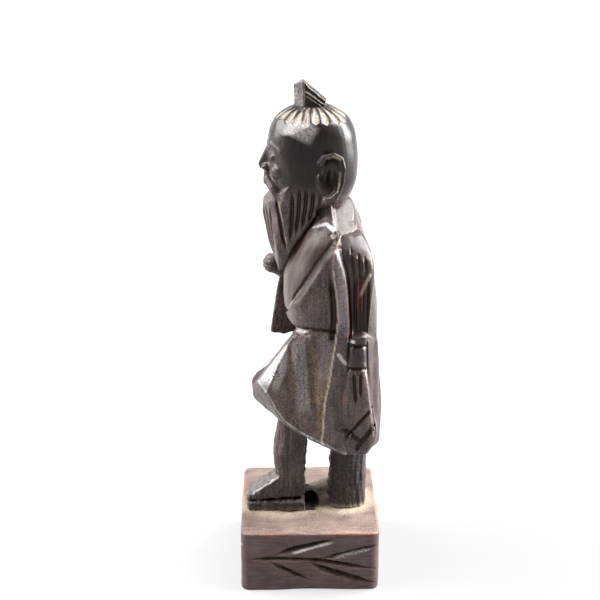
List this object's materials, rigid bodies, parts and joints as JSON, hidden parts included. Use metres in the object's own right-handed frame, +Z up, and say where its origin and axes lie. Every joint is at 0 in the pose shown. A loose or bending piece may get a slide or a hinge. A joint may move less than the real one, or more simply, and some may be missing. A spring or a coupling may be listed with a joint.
{
  "type": "carved wooden figurine",
  "caption": "Small dark hardwood carving of a robed old man with a long beard and a topknot, striding on a square plinth with a knife-cut leaf sprig on each side.",
  "frame": {"origin": "middle of the square plinth's flat underside", "axes": "+Z up through the figure, -Y the way the figure faces, +X towards its left hand"},
  "size_m": [0.028, 0.0288, 0.1023],
  "materials": {
    "figure_wood": "polished dark hardwood with worn edges",
    "leg_wood": "the same wood left from the rasp, matt",
    "plinth_wood": "red-brown hardwood, satin sides and a dull top",
    "pin_wood": "plain pale dowel"
  },
  "bodies": {
    "root": {"plinth": "plinth_wood", "front_leg": "leg_wood", "rear_leg": "leg_wood", "robe": "figure_wood", "left_arm": "figure_wood", "right_arm": "figure_wood", "head": "figure_wood", "topknot": "figure_wood", "foot_pins": "pin_wood", "neck_pin": "pin_wood", "topknot_pin": "pin_wood", "left_arm_pins": "pin_wood", "right_arm_pins": "pin_wood"}
  },
  "joints": []
}
